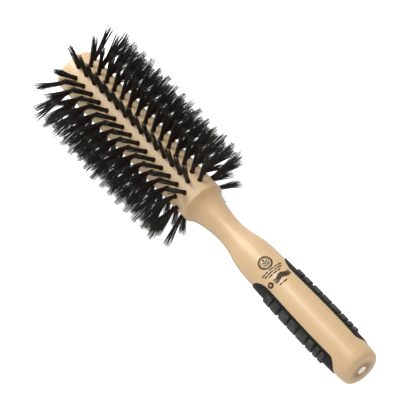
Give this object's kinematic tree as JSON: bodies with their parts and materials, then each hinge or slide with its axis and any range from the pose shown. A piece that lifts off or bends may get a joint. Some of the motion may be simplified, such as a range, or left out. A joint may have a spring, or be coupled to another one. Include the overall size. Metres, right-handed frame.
{
  "type": "round barrel brush",
  "caption": "Full-round hair brush: turned beech barrel and handle, staggered rows of dark bristle tufts all round, and ribbed rubber grips inlaid in both sides of the handle.",
  "frame": {"origin": "centre of the barrel's flat tip", "axes": "+X along the brush's axis from the tip of the barrel to the butt of the handle; +Z out of the front of the handle; +Y and -Y out through the middles of the two rubber grips"},
  "size_m": [0.2302, 0.0626, 0.063],
  "materials": {
    "beech": "clear satin lacquer",
    "rubber": "matte moulded",
    "bristle": "natural bristle, slight sheen"
  },
  "bodies": {
    "root": {"brush_body": "beech", "grip_left": "rubber", "grip_right": "rubber", "bristle_row_01": "bristle", "bristle_row_02": "bristle", "bristle_row_03": "bristle", "bristle_row_04": "bristle", "bristle_row_05": "bristle", "bristle_row_06": "bristle", "bristle_row_07": "bristle", "bristle_row_08": "bristle", "bristle_row_09": "bristle", "bristle_row_10": "bristle", "bristle_row_11": "bristle", "bristle_row_12": "bristle", "bristle_row_13": "bristle", "bristle_row_14": "bristle"}
  },
  "joints": []
}
